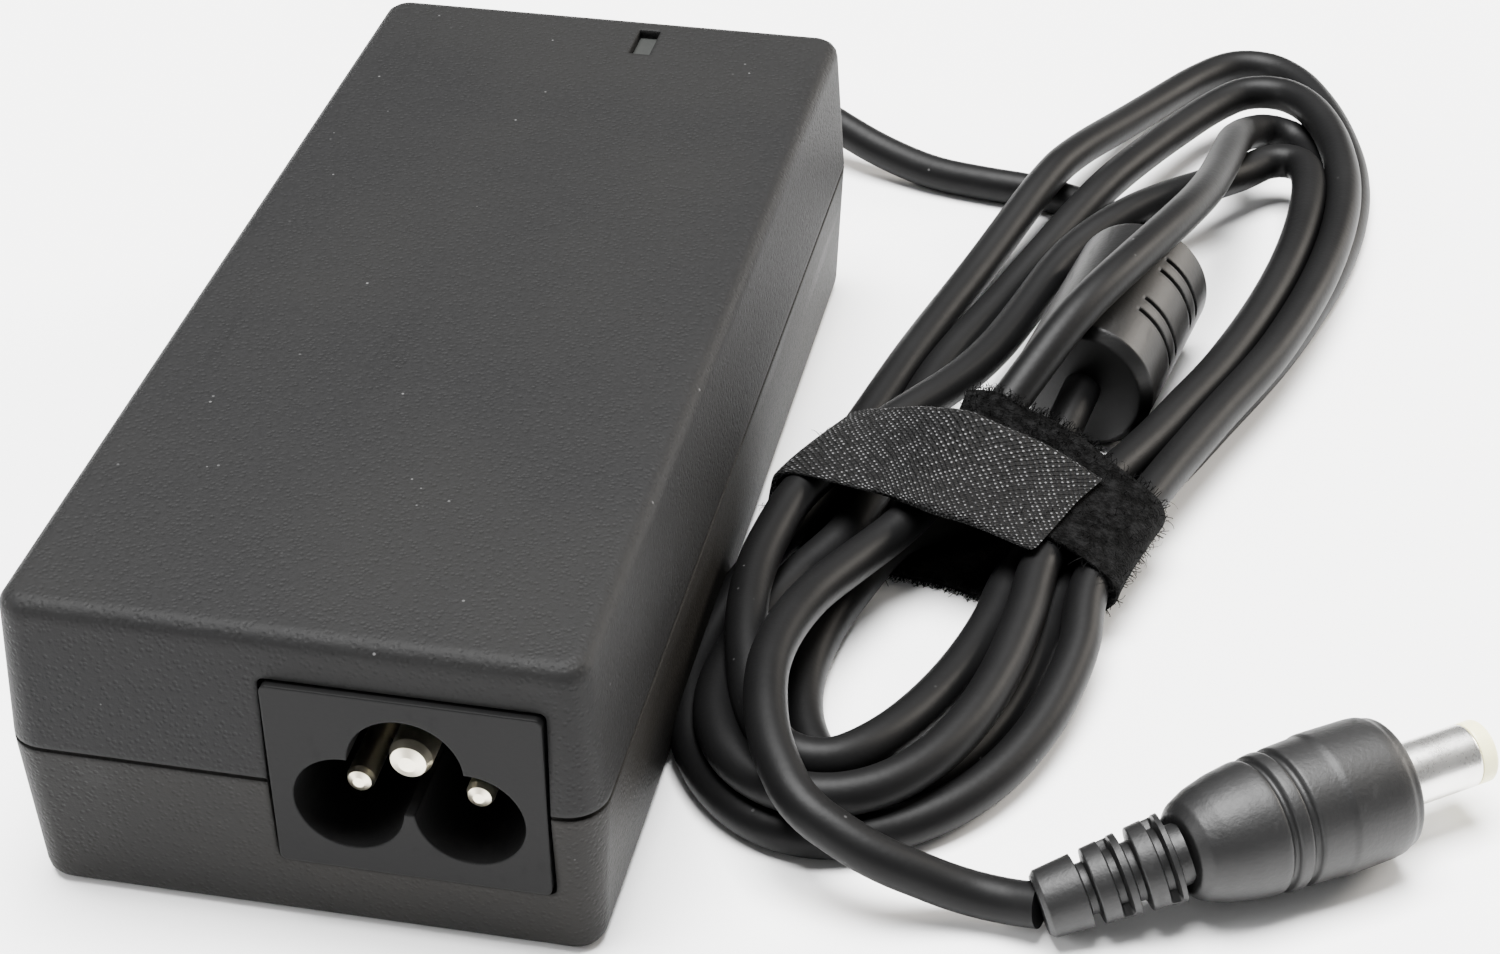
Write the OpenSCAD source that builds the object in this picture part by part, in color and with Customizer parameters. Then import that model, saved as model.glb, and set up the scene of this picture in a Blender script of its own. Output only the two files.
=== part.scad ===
// Laptop power adapter: a closed two-shell brick with a three-pole inlet, and an output lead with a
// suppression bead, wound into a hank held by a hook-and-loop tie, ending in a coaxial plug.
// Frame: X across the case, Y along it (inlet at -Y, lead at +Y), Z up, origin under the case's centre.

/* [Case] */
// Width of the case at its parting line
case_w = 50; // [48:0.5:54]
// Length of the case
case_l = 108; // [106:0.5:112]
// Height of the case
case_h = 29.5; // [29:0.25:32]
// Height of the parting line above the table
parting_z = 15.25; // [15:0.25:15.75]
// How far each shell draws in, per side, from the parting line to its face
draft = 0.75; // [0.4:0.05:1]
// Radius of the case's upright corners
corner_r = 3.3; // [2.5:0.1:4]
// Radius round the top and bottom edges
edge_r = 1.5; // [1:0.1:2]
// Wall thickness of both shells
wall = 2; // [1.6:0.1:2.2]

/* [Inlet] */
// Width of the inlet's face plate
inlet_w = 22.8; // [22:0.1:24]
// Height of the inlet's face plate
inlet_h = 18.1; // [17.5:0.1:18.5]
// Sideways place of the inlet's middle
inlet_x = 9.3; // [8.5:0.1:10]
// Height of the inlet's middle
inlet_z = 16; // [15.5:0.1:16.2]
// Depth of the inlet's recess
recess_depth = 14; // [12:0.5:15]
// How far the line and neutral pins stop behind the face
pin_setback = 2.6; // [2:0.2:5]
// How far the longer earth pin stops behind the face
earth_setback = 0.6; // [0.4:0.2:3]
// Distance between the line pin and the neutral pin
pin_pitch = 10; // [9.8:0.1:10.2]
// Diameter of the line and neutral pins
pin_d = 2.4; // [2:0.1:2.8]
// Diameter of the earth pin
earth_pin_d = 3.6; // [3:0.1:4]

/* [Output lead] */
// Diameter of the output lead
cord_d = 3.8; // [3.6:0.1:4]
// Height of the lead's exit above the table
exit_z = 10; // [9.5:0.25:10.5]
// Length of the strain relief outside the case
relief_l = 18; // [16:1:20]
// Diameter of the suppression bead's cover
ferrite_d = 14; // [13.5:0.1:14]
// Length of the suppression bead's cover
ferrite_l = 22.4; // [20:0.1:23]

/* [Plug] */
// Diameter of the plug's moulded body
plug_d = 12.2; // [11.5:0.1:12.5]
// Length of the plug's moulded body
plug_l = 20; // [19:0.5:21]
// Outside diameter of the plug's metal barrel
barrel_d = 5.5; // [5.4:0.05:5.6]
// Length of the barrel in front of the body
barrel_l = 9.5; // [9:0.25:10.5]
// Bore of the plug's inner contact
contact_bore = 1.7; // [1.6:0.05:1.8]

/* [Hidden] */

round_fn = 64;
shell_fn = 32;
fit_gap = 0.1;

// Case
slab = 0.01;
seam_bevel = 0.2;
lip_h = 1;
lip_t = 0.8;
front_y = -case_l / 2;
rear_y = case_l / 2;
inner_top = case_h - wall;
window_w = 2.2;
window_l = 5.2;
window_x = 4.6;
window_y = 47.8;
pipe_recess = 0.9;

// Board and the parts on it
board_w = 42;
board_l = 86;
board_t = 1.6;
board_y = 7;
board_z = 5.2;
board_top = board_z + board_t;
post_r = 2.2;
post_x = 17;
post_y = [-30, 44];
sheet_z = 26;
leg_r = 0.4;
wire_r = 0.9;
screw_r = 1.5;
screw_head_r = 2.6;
screw_z = 13;
sink_l = 18;
sink_h = 18;
sink_t = 1.6;
primary_sink_at = [-2, -14];
secondary_sink_at = [10, 30];
secondary_sink_l = 14;
fuse_at = [-16, -30];
fuse_r = 4.2;
fuse_h = 8;
thermistor_at = [-6.5, -31];
thermistor_r = 4.5;
varistor_at = [-15.5, -20.5];
varistor_r = 5;
disc_t = 3.5;
filter_at = [-7, -27];
filter_size = [17, 8.5, 15];
choke_at = [13.2, -8.5];
choke_core_z = 2;
choke_core_h = 8;
choke_core_r = [3.4, 6.6];
choke_wire_t = 1.2;
choke_sweep = 130;
bridge_at = [-17, -14.5];
bridge_size = [14, 3.6, 11];
bulk_at = [-11.5, -9];
bulk_r = 9;
bulk_l = 30;
bead_depth = 0.5;
chip_at = [1, 1.2];
chip_size = [5, 4, 1.6];
safety_at = [-13, 26];
safety_r = 4;
opto_at = [-6.5, 23.5];
opto_size = [4.6, 6.5, 3.4];
trafo_at = [9.5, 17.5];
trafo_w = 20;
trafo_l = 11;
trafo_h = 18;
trafo_leg = 3.5;
trafo_post_r = 3;
bobbin_r = 3.9;
bobbin_flange_r = 6.4;
output_cap_x = [-14.5, -4];
output_y = 37.5;
output_cap_r = 5;
output_cap_h = 17.5;
output_choke_x = 4.6;
output_choke_r = 3;
output_choke_h = 12;
package_size = [4.4, 10, 9];
package_tab_h = 17;
package_lift = 3;
sheet_size = [40, 76, 0.5];
foil_size = [38, 74, 0.3];
led_r = 1.5;

// Inlet
lobe_r = 4.6;
earth_lobe_r = 4.8;
lobe_z = -2.1;
earth_z = 2.3;
pin_shoulder = 0.3;
inlet_slack = 0.3;
recess_floor_y = front_y + recess_depth;
inlet_back_t = 4;
inlet_back_y = recess_floor_y + inlet_back_t;
pin_leg_y = inlet_back_y + 2.5;
pin_leg_r = 0.8;
plate_r = 0.6;

// Ferrite bead
ferrite_at = [53.5, 26, ferrite_d / 2];
ferrite_turn = 80;
ferrite_bevel = 1;
core_d = 10.4;
core_l = 16;
slot_places = [6.8, 9, 14.6, 16.8];
slot_depth = 0.5;
slot_w = 0.6;

// Lead: the routes that are not wound
route_to_ferrite = [[0, 72, 10], [0.5, 75.5, 9.8], [2.8, 79.3, 9.2], [7, 81.8, 8], [12.5, 81.5, 6.5],
    [18, 79.3, 4.8], [24.5, 76.6, 3], [31, 74.4, 2], [37, 73.2, 1.9], [43, 72.3, 1.9],
    [48.5, 70.2, 1.9], [53, 66.3, 2.3], [56.3, 61, 3.8], [58, 55.5, 5.8], [57.8, 51.5, 6.8],
    [57.4, 48.1, 7]];
route_from_ferrite = [[53.5, 26, 7], [52.9, 22.4, 6.6], [52.2, 19, 5.6], [51.3, 15.5, 4.2], [50.3, 12, 3]];
route_to_plug = [[41, -42.3, 8], [45, -43.3, 6.2], [49.5, -43.1, 4], [53.5, -42.8, 2.7],
    [56.4, -43, 2.6], [58.6, -43.4, 3]];
tube_sides = 8;

// Strain relief at the case
relief_neck_r = 4.4;
relief_tip_r = 2.7;
relief_flange_r = 5;
relief_ribs = 5;
relief_pitch = 2.8;
relief_slit = 1;
relief_core_r = 2.3;
wire_x = 1.3;

// Hank: outline given as [sideways, along, radius] in its own frame, whose middle is under the tie
hank_at = [44, 12];
hank_turn = -15;
hank_bottom = 1;
hank_h = 9.6;
hank_outer = [[-1.5, 83, 15.3], [9, 70, 10.6], [16, 38, 5.8], [16.5, 5, 3.6], [13.5, -33, 9.5],
    [4.5, -42, 11.2], [-2.5, -33, 10.4], [-12, 15, 4]];
window_upper = [[0, 16, 2], [0, 38, 2], [5.5, 66, 2], [10, 52, 2], [11, 38, 2], [7.5, 18, 2]];
window_lower = [[3, -13, 1.5], [1.5, -30, 2], [5, -35, 2], [9, -29, 2], [8, -13, 1.5]];

// Tie: a band round both limbs of the hank
tie_at = [44.4, 6.3];
tie_turn = -29;
tie_w = 12.5;
tie_t = 1;
tie_span = 40.4;
tie_top = 12.6;
tie_r = 3;

// Plug
plug_at = [85.4, -26.3, plug_d / 2];
plug_turn = 37;
relief_tail = [58.6, -43.4, 3];
relief_root = plug_at - plug_l * [cos(plug_turn), sin(plug_turn), 0];
relief_run = relief_root - relief_tail;
plug_relief_back_r = 3.7;
plug_relief_front_r = 2.9;
plug_relief_core_r = 2.2;
plug_relief_pitch = 1.9;
plug_relief_slit = 0.8;
plug_groove = 0.4;
barrel_wall = 0.4;
barrel_shoulder = 0.4;
barrel_seat = 4;
tip_l = 0.9;
contact_wall = 0.45;
contact_setback = 0.4;

function unit(v) = v / norm(v);
function tangent(p, i) = unit(p[min(i + 1, len(p) - 1)] - p[max(i - 1, 0)]);
function ring(p, i, r) =
    let (t = tangent(p, i), side = unit(cross(t, [0, 0, 1])), up = cross(side, t))
    [for (k = [0 : tube_sides - 1]) p[i] + r * (cos(360 * k / tube_sides) * side
        + sin(360 * k / tube_sides) * up)];

// A round tube whose middle runs through the route's points
module tube(route, d) {
    points = [for (i = [0 : len(route) - 1]) each ring(route, i, d / 2)];
    n = tube_sides;
    last = (len(route) - 1) * n;
    sides = [for (i = [0 : len(route) - 2]) for (k = [0 : n - 1]) each
        [[i * n + k, i * n + (k + 1) % n, (i + 1) * n + k],
         [i * n + (k + 1) % n, (i + 1) * n + (k + 1) % n, (i + 1) * n + k]]];
    start_cap = [for (k = [n - 1 : -1 : 0]) k];
    end_cap = [for (k = [0 : n - 1]) last + k];
    polyhedron(points = points, faces = concat([start_cap], sides, [end_cap]));
}

module rounded_rect(w, l, r) {
    hull() for (x = [-1, 1], y = [-1, 1])
        translate([x * (w / 2 - r), y * (l / 2 - r)]) circle(r = r, $fn = shell_fn);
}

// Half of the case as a solid: from the parting line at z = 0 up to its face at z = h
module half_case(h, inset) {
    hull() {
        linear_extrude(slab) rounded_rect(case_w - 2 * inset, case_l - 2 * inset, corner_r - inset / 2);
        for (a = [0 : 22.5 : 90]) {
            shrink = 2 * (inset + draft + edge_r * (1 - cos(a)));
            translate([0, 0, h - inset - edge_r + edge_r * sin(a) - slab]) linear_extrude(slab)
                rounded_rect(case_w - shrink, case_l - shrink, max(corner_r - shrink / 2, 1));
        }
    }
}

module hollow_half(h) {
    difference() {
        half_case(h, 0);
        translate([0, 0, -slab]) half_case(h, wall);
        difference() {
            translate([-case_w, -case_l, -1]) cube([2 * case_w, 2 * case_l, 1 + seam_bevel]);
            translate([0, 0, -2]) linear_extrude(3)
                rounded_rect(case_w - 2 * seam_bevel, case_l - 2 * seam_bevel, corner_r);
        }
    }
}

// The tongue that locates one shell in the other, grown by grow on each side
module seam_lip(grow, h) {
    w = case_w - 2 * wall + 2 * lip_t;
    l = case_l - 2 * wall + 2 * lip_t;
    difference() {
        translate([0, 0, parting_z - grow]) linear_extrude(h + grow)
            rounded_rect(w + 2 * grow, l + 2 * grow, corner_r - 1);
        translate([0, 0, parting_z - 3]) linear_extrude(6)
            rounded_rect(case_w - 2 * wall + 0.1, case_l - 2 * wall + 0.1, corner_r - 1.5);
    }
}

module inlet_block(grow, depth) {
    translate([inlet_x, front_y - 1, inlet_z]) rotate([-90, 0, 0]) linear_extrude(depth + 1)
        rounded_rect(inlet_w + 2 * grow, inlet_h + 2 * grow, plate_r);
}

module upper_shell() {
    color([0.30, 0.30, 0.32]) difference() {
        translate([0, 0, parting_z]) hollow_half(case_h - parting_z);
        seam_lip(fit_gap, lip_h + fit_gap);
        inlet_block(inlet_slack, recess_depth + inlet_back_t);
        translate([window_x - window_w / 2, window_y - window_l / 2, inner_top - 1])
            cube([window_w, window_l, wall + 2]);
    }
}

module lower_shell() {
    color([0.34, 0.33, 0.33]) difference() {
        union() {
            translate([0, 0, parting_z]) mirror([0, 0, 1]) hollow_half(parting_z);
            seam_lip(0, lip_h);
            for (x = [-post_x, post_x], y = post_y)
                translate([x, y, wall - 0.1]) cylinder(r = post_r, h = board_z - wall + 0.1, $fn = round_fn);
        }
        inlet_block(inlet_slack, recess_depth + inlet_back_t);
        translate([0, rear_y - wall - 2, exit_z]) rotate([-90, 0, 0])
            cylinder(r = relief_neck_r + 0.05, h = wall + 4, $fn = round_fn);
    }
}

// Three joined round lobes: line and neutral side by side, earth above and between them
module cloverleaf() {
    for (s = [-1, 1]) translate([s * pin_pitch / 2, lobe_z]) circle(r = lobe_r, $fn = round_fn);
    translate([0, earth_z]) circle(r = earth_lobe_r, $fn = round_fn);
    polygon([[-pin_pitch / 2, 0], [pin_pitch / 2, 0], [0, earth_z + 1]]);
}

module at_inlet() {
    translate([inlet_x, front_y, inlet_z]) rotate([90, 0, 0]) children();
}

module inlet_housing() {
    color([0.08, 0.08, 0.08]) difference() {
        translate([inlet_x, front_y, inlet_z]) rotate([-90, 0, 0])
            linear_extrude(inlet_back_y - front_y) rounded_rect(inlet_w, inlet_h, plate_r);
        at_inlet() translate([0, 0, -recess_depth]) linear_extrude(recess_depth + 1) cloverleaf();
        for (s = [-1, 1]) pin_hole(s * pin_pitch / 2, lobe_z, pin_d);
        pin_hole(0, earth_z, earth_pin_d);
    }
}

module pin_hole(x, z, d) {
    translate([inlet_x + x, recess_floor_y - slab, inlet_z + z]) rotate([-90, 0, 0])
        cylinder(d = d + 2 * pin_shoulder, h = inlet_back_t + 1, $fn = round_fn);
}

// A pin with a rounded tip, a thicker part in the housing's floor and a leg soldered to the board
module inlet_pin(x, z, d, setback) {
    r = d / 2;
    pin_y = front_y + setback;
    tip = d * 0.3;
    free = recess_floor_y - pin_y;
    end = pin_leg_y - pin_y;
    translate([inlet_x + x, 0, inlet_z + z]) {
        translate([0, pin_y, 0]) rotate([-90, 0, 0]) rotate_extrude($fn = round_fn)
            polygon([[0, 0], [r - tip, 0], [r - tip * 0.3, tip * 0.3], [r, tip], [r, free],
                [r + pin_shoulder, free], [r + pin_shoulder, end], [0, end]]);
        translate([0, pin_leg_y - pin_leg_r, board_top - inlet_z - z])
            cylinder(r = pin_leg_r, h = inlet_z + z - board_top, $fn = round_fn);
    }
}

module inlet_line_pin() {
    color([0.83, 0.78, 0.62]) inlet_pin(-pin_pitch / 2, lobe_z, pin_d, pin_setback);
}

module inlet_neutral_pin() {
    color([0.83, 0.78, 0.62]) inlet_pin(pin_pitch / 2, lobe_z, pin_d, pin_setback);
}

module inlet_earth_pin() {
    color([0.83, 0.78, 0.62]) inlet_pin(0, earth_z, earth_pin_d, earth_setback);
}

module light_pipe() {
    top = case_h - pipe_recess;
    bottom = board_top + 5.5;
    color([0.75, 0.77, 0.75])
        translate([window_x - window_w / 2 + 0.05, window_y - window_l / 2 + 0.05, bottom])
        cube([window_w - 0.1, window_l - 0.1, top - bottom]);
}

module indicator_led() {
    color([0.6, 0.8, 0.6]) translate([window_x, window_y, board_top]) {
        cylinder(r = led_r + 0.4, h = 1, $fn = round_fn);
        translate([0, 0, 1]) cylinder(r = led_r, h = 2.5, $fn = round_fn);
        translate([0, 0, 3.5]) sphere(r = led_r, $fn = round_fn);
    }
}

module circuit_board() {
    color([0.45, 0.36, 0.16]) translate([-board_w / 2, board_y - board_l / 2, board_z])
        cube([board_w, board_l, board_t]);
}

module on_board(at) {
    translate([at.x, at.y, board_top]) children();
}

module input_fuse() {
    color([0.2, 0.2, 0.22]) on_board(fuse_at) cylinder(r = fuse_r, h = fuse_h, $fn = round_fn);
}

module standing_disc(r) {
    translate([0, disc_t / 2, r + 1]) rotate([90, 0, 0]) cylinder(r = r, h = disc_t, $fn = round_fn);
    for (s = [-1, 1]) translate([s * r / 2, 0, 0]) cylinder(r = leg_r, h = r, $fn = round_fn);
}

module inrush_thermistor() {
    color([0.15, 0.3, 0.2]) on_board(thermistor_at) standing_disc(thermistor_r);
}

module varistor() {
    color([0.15, 0.3, 0.65]) on_board(varistor_at) standing_disc(varistor_r);
}

module filter_capacitor() {
    color([0.85, 0.75, 0.2]) on_board(filter_at) cube(filter_size);
}

module choke_ring(r, z, h, start, sweep) {
    on_board(choke_at) rotate([0, 0, start]) rotate_extrude(angle = sweep, $fn = round_fn)
        translate([r[0], z]) square([r[1] - r[0], h]);
}

module choke_core() {
    color([0.2, 0.35, 0.25]) choke_ring(choke_core_r, choke_core_z, choke_core_h, 0, 360);
}

// One winding over part of the ring, with its two ends going down to the board
module choke_winding(start) {
    r = [choke_core_r[0] - choke_wire_t, choke_core_r[1] + choke_wire_t];
    lead_r = 0.5;
    lead_at = r[1] - lead_r - 0.2;
    difference() {
        choke_ring(r, choke_core_z - choke_wire_t, choke_core_h + 2 * choke_wire_t, start, choke_sweep);
        choke_ring(choke_core_r, choke_core_z, choke_core_h, 0, 360);
    }
    for (a = [start + 20, start + choke_sweep - 20])
        on_board(choke_at + lead_at * [cos(a), sin(a)])
            cylinder(r = lead_r, h = choke_core_z, $fn = round_fn);
}

module choke_line_winding() {
    color([0.72, 0.38, 0.15]) choke_winding(25);
}

module choke_neutral_winding() {
    color([0.72, 0.38, 0.15]) choke_winding(205);
}

module bridge_rectifier() {
    color([0.1, 0.1, 0.1]) on_board(bridge_at) cube(bridge_size);
}

// A capacitor can with the rolled bead near its sealed end
module capacitor_can(r, l) {
    difference() {
        cylinder(r = r, h = l, $fn = round_fn);
        translate([0, 0, r / 3]) difference() {
            cylinder(r = r + 1, h = 1.1, $fn = round_fn);
            cylinder(r = r - bead_depth, h = 1.1, $fn = round_fn);
        }
    }
}

module bulk_capacitor() {
    color([0.12, 0.16, 0.3]) on_board(bulk_at) translate([0, 0, bulk_r]) rotate([-90, 0, 0])
        capacitor_can(bulk_r, bulk_l);
}

// An upright cooling plate, drilled for the screw that holds its power package
module heat_sink(at, l, hole_y) {
    on_board(at) difference() {
        cube([sink_t, l, sink_h]);
        translate([-1, hole_y, screw_z]) rotate([0, 90, 0])
            cylinder(r = screw_r, h = sink_t + 2, $fn = round_fn);
    }
}

module primary_heat_sink() {
    color([0.75, 0.76, 0.78]) heat_sink(primary_sink_at, sink_l, sink_l / 2);
}

module secondary_heat_sink() {
    color([0.75, 0.76, 0.78]) heat_sink(secondary_sink_at, secondary_sink_l, secondary_sink_l / 2);
}

// A three-leg power package standing against the +X face of its plate, its tab drilled for a screw
module power_package() {
    w = package_size.y;
    body_z = package_lift - 1;
    difference() {
        union() {
            translate([0, -w / 2, body_z]) cube(package_size);
            translate([0, -w / 2, body_z]) cube([1.2, w, package_tab_h - package_lift]);
        }
        translate([-1, 0, screw_z]) rotate([0, 90, 0]) cylinder(r = screw_r, h = 4, $fn = round_fn);
    }
    for (s = [-1, 0, 1]) translate([2, s * 2.54, 0]) cylinder(r = leg_r, h = package_lift, $fn = round_fn);
}

module at_package(sink_at, l) {
    on_board(sink_at + [sink_t, l / 2]) children();
}

module switching_transistor() {
    color([0.12, 0.12, 0.13]) at_package(primary_sink_at, sink_l) power_package();
}

module output_rectifier() {
    color([0.12, 0.12, 0.13]) at_package(secondary_sink_at, secondary_sink_l) power_package();
}

// A screw through the package's tab and its plate, head outwards
module package_screw() {
    translate([0, 0, screw_z]) rotate([0, 90, 0]) {
        translate([0, 0, -2]) cylinder(r = screw_r, h = 3.2, $fn = round_fn);
        translate([0, 0, 1.2]) cylinder(r = screw_head_r, h = 1.6, $fn = round_fn);
    }
}

module heat_sink_screws() {
    color([0.8, 0.8, 0.78]) {
        at_package(primary_sink_at, sink_l) package_screw();
        at_package(secondary_sink_at, secondary_sink_l) package_screw();
    }
}

module control_chip() {
    color([0.1, 0.1, 0.1]) on_board(chip_at) cube(chip_size);
}

module safety_capacitor() {
    color([0.2, 0.45, 0.75]) on_board(safety_at) standing_disc(safety_r);
}

module optocoupler() {
    color([0.9, 0.9, 0.88]) on_board(opto_at) cube(opto_size);
}

// Transformer: an E core round a bobbin whose axis is upright
module transformer_core() {
    gap_w = trafo_w - 2 * trafo_leg;
    gap_h = trafo_h - 2 * trafo_leg;
    color([0.22, 0.22, 0.24]) on_board(trafo_at) translate([0, 0, 0.5]) {
        difference() {
            translate([-trafo_w / 2, -trafo_l / 2, 0]) cube([trafo_w, trafo_l, trafo_h]);
            translate([-gap_w / 2, -trafo_l, trafo_leg]) cube([gap_w, 2 * trafo_l, gap_h]);
        }
        cylinder(r = trafo_post_r, h = trafo_h, $fn = round_fn);
    }
}

module transformer_bobbin() {
    h = trafo_h - 2 * trafo_leg;
    color([0.1, 0.1, 0.12]) on_board(trafo_at) translate([0, 0, trafo_leg + 0.5]) difference() {
        union() {
            cylinder(r = bobbin_r, h = h, $fn = round_fn);
            for (z = [0, h - 1]) translate([0, 0, z]) cylinder(r = bobbin_flange_r, h = 1, $fn = round_fn);
        }
        translate([0, 0, -1]) cylinder(r = trafo_post_r + 0.05, h = trafo_h, $fn = round_fn);
    }
}

module transformer_winding() {
    h = trafo_h - 2 * trafo_leg - 2;
    color([0.85, 0.7, 0.2]) on_board(trafo_at) translate([0, 0, trafo_leg + 1.5]) difference() {
        cylinder(r = bobbin_flange_r - 0.2, h = h, $fn = round_fn);
        translate([0, 0, -1]) cylinder(r = bobbin_r, h = trafo_h, $fn = round_fn);
    }
}

module output_capacitors() {
    color([0.15, 0.3, 0.2]) for (x = output_cap_x) on_board([x, output_y])
        capacitor_can(output_cap_r, output_cap_h);
}

module output_choke() {
    color([0.5, 0.42, 0.15]) on_board([output_choke_x, output_y])
        cylinder(r = output_choke_r, h = output_choke_h, $fn = round_fn);
}

module insulating_sheet() {
    color([0.85, 0.83, 0.75]) translate([-sheet_size.x / 2, -32, sheet_z]) cube(sheet_size);
}

module shield_foil() {
    color([0.75, 0.5, 0.3]) translate([-foil_size.x / 2, -31, sheet_z + sheet_size.z]) cube(foil_size);
}

module relief_wire(x) {
    translate([x, rear_y - wall - 6, board_top]) {
        cylinder(r = wire_r, h = exit_z - board_top, $fn = round_fn);
        translate([0, -wire_r, exit_z - board_top]) rotate([-90, 0, 0])
            cylinder(r = wire_r, h = 4.5 + wire_r, $fn = round_fn);
    }
}

module lead_wire_positive() {
    color([0.75, 0.1, 0.1]) relief_wire(-wire_x);
}

module lead_wire_negative() {
    color([0.12, 0.12, 0.12]) relief_wire(wire_x);
}

// Strain relief: a flange inside the rear wall, a neck in it and a ribbed taper outside
module cord_strain_relief() {
    color([0.13, 0.13, 0.13]) translate([0, rear_y, exit_z]) rotate([-90, 0, 0]) difference() {
        union() {
            translate([0, 0, -wall - 1.5]) cylinder(r = relief_flange_r, h = 1.5, $fn = round_fn);
            translate([0, 0, -wall]) cylinder(r = relief_neck_r, h = wall, $fn = round_fn);
            cylinder(r1 = relief_neck_r, r2 = relief_tip_r, h = relief_l, $fn = round_fn);
        }
        for (k = [1 : relief_ribs]) translate([0, 0, 1 + k * relief_pitch]) difference() {
            cylinder(r = relief_flange_r + 1, h = relief_slit, $fn = round_fn);
            cylinder(r = relief_core_r, h = relief_slit, $fn = round_fn);
        }
    }
}

module cord_to_ferrite() {
    color([0.1, 0.1, 0.1]) tube(route_to_ferrite, cord_d);
}

module at_ferrite() {
    translate(ferrite_at) rotate([0, 0, ferrite_turn]) rotate([0, 90, 0]) children();
}

module ferrite_cover() {
    r = ferrite_d / 2;
    color([0.14, 0.14, 0.14]) at_ferrite() difference() {
        rotate_extrude($fn = round_fn) polygon([[0, 0], [r - ferrite_bevel, 0], [r, ferrite_bevel],
            [r, ferrite_l - ferrite_bevel], [r - ferrite_bevel, ferrite_l], [0, ferrite_l]]);
        translate([0, 0, (ferrite_l - core_l) / 2]) cylinder(d = core_d, h = core_l, $fn = round_fn);
        for (s = slot_places) translate([0, 0, s]) rotate([0, 0, -150])
            rotate_extrude(angle = 60, $fn = round_fn)
            translate([r - slot_depth, 0]) square([slot_depth + 1, slot_w]);
    }
}

module ferrite_core() {
    color([0.3, 0.3, 0.32]) at_ferrite() translate([0, 0, (ferrite_l - core_l) / 2]) difference() {
        cylinder(d = core_d, h = core_l, $fn = round_fn);
        translate([0, 0, -1]) cylinder(d = cord_d + 0.4, h = core_l + 2, $fn = round_fn);
    }
}

module cord_from_ferrite() {
    color([0.1, 0.1, 0.1]) tube(route_from_ferrite, cord_d);
}

module outline(circles) {
    hull() for (c = circles) translate([c[0], c[1]]) circle(r = c[2], $fn = shell_fn);
}

module cord_hank() {
    color([0.12, 0.12, 0.12]) difference() {
        translate([hank_at.x, hank_at.y, hank_bottom]) rotate([0, 0, hank_turn])
            linear_extrude(hank_h) difference() {
                outline(hank_outer);
                outline(window_upper);
                outline(window_lower);
            }
        at_ferrite() translate([0, 0, -fit_gap]) cylinder(d = ferrite_d + 2 * fit_gap,
            h = ferrite_l + 2 * fit_gap, $fn = round_fn);
        tie_place() difference() {
            translate([-60, -tie_w / 2 - fit_gap, -1]) cube([120, tie_w + 2 * fit_gap, 30]);
            tie_loop(-tie_t - fit_gap, tie_w + 1);
        }
    }
}

module tie_place() {
    translate([tie_at.x, tie_at.y, 0]) rotate([0, 0, tie_turn]) children();
}

// The tie's cross-section, grown outwards by grow, run along the band's width
module tie_loop(grow, w) {
    translate([0, w / 2, tie_top / 2]) rotate([90, 0, 0]) linear_extrude(w)
        rounded_rect(tie_span + 2 * grow, tie_top + 2 * grow, tie_r + grow);
}

module tie_strap() {
    color([0.2, 0.2, 0.2]) tie_place() difference() {
        tie_loop(0, tie_w);
        tie_loop(-tie_t, tie_w + 2);
    }
}

module cord_to_plug() {
    color([0.1, 0.1, 0.1]) tube(route_to_plug, cord_d);
}

// Everything on the plug is drawn along its axis, with z = 0 at the body's front face
module at_plug() {
    translate(plug_at) rotate([0, 0, plug_turn]) rotate([0, 90, 0]) children();
}

module plug_strain_relief() {
    run = norm(relief_run);
    heading = atan2(relief_run.y, relief_run.x);
    tilt = acos(relief_run.z / run);
    color([0.16, 0.16, 0.16]) translate(relief_tail) rotate([0, tilt, heading]) difference() {
        cylinder(r1 = plug_relief_front_r, r2 = plug_relief_back_r, h = run - 0.6, $fn = round_fn);
        for (k = [0 : 4]) translate([0, 0, 2.2 + plug_relief_pitch * k]) difference() {
            translate([k % 2 == 0 ? 0 : -6, -6, 0]) cube([6, 12, plug_relief_slit]);
            cylinder(r = plug_relief_core_r, h = plug_relief_slit, $fn = round_fn);
        }
    }
}

module plug_body() {
    r = plug_d / 2;
    color([0.17, 0.17, 0.17]) at_plug() difference() {
        rotate_extrude($fn = round_fn) polygon([[0, -plug_l], [3.6, -plug_l], [3.8, -plug_l + 1],
            [5.6, -plug_l + 4.5], [r, -plug_l + 7], [r, -11.4], [r - plug_groove, -11.2],
            [r - plug_groove, -10.8], [r, -10.6], [r, -1.6], [r - 0.5, -0.5], [r - 1.4, 0], [0, 0]]);
        translate([0, 0, -barrel_seat])
            cylinder(d = barrel_d + 2 * barrel_shoulder, h = barrel_seat + 1, $fn = round_fn);
    }
}

// The barrel is thicker where it sits in the body, which keeps it from being pulled out
module plug_barrel() {
    r = barrel_d / 2;
    front = barrel_l - tip_l;
    color([0.85, 0.83, 0.78]) at_plug() rotate_extrude($fn = round_fn)
        polygon([[r - barrel_wall, -barrel_seat], [r + barrel_shoulder, -barrel_seat],
            [r + barrel_shoulder, 0], [r, 0], [r, front], [r - barrel_wall, front]]);
}

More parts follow.
